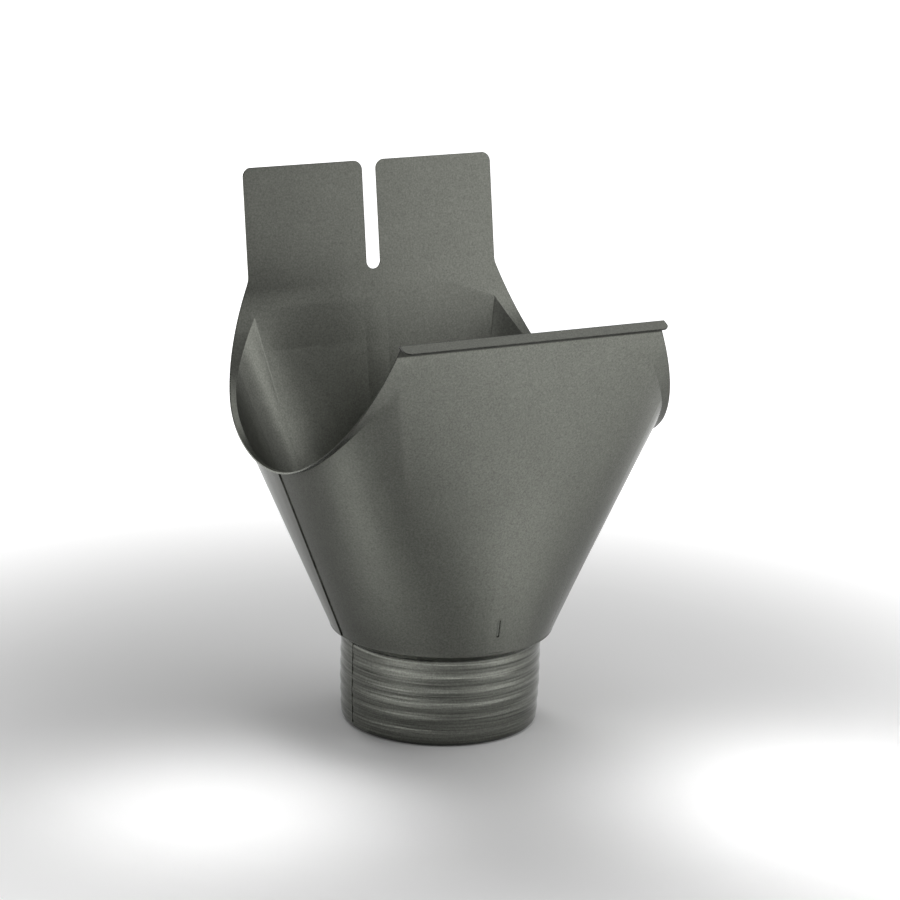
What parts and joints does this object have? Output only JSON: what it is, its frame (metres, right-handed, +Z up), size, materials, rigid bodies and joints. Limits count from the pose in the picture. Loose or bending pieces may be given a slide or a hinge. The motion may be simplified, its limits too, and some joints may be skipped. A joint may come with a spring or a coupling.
{
  "type": "gutter outlet",
  "caption": "Half-round gutter outlet: a folded sheet-metal saddle with a hook lip and bend-over tabs runs down a funnel into a ringed spout for the downpipe.",
  "frame": {"origin": "centre of the spout's lower end", "axes": "+Z up along the spout axis, +X along the gutter, the hook lip towards -Y and the two tabs towards +Y"},
  "size_m": [0.1886, 0.171, 0.2569],
  "materials": {
    "sheet": "weathered grey zinc sheet, satin, with a fine mottled patina"
  },
  "bodies": {
    "root": {"outlet_body": "sheet"}
  },
  "joints": []
}
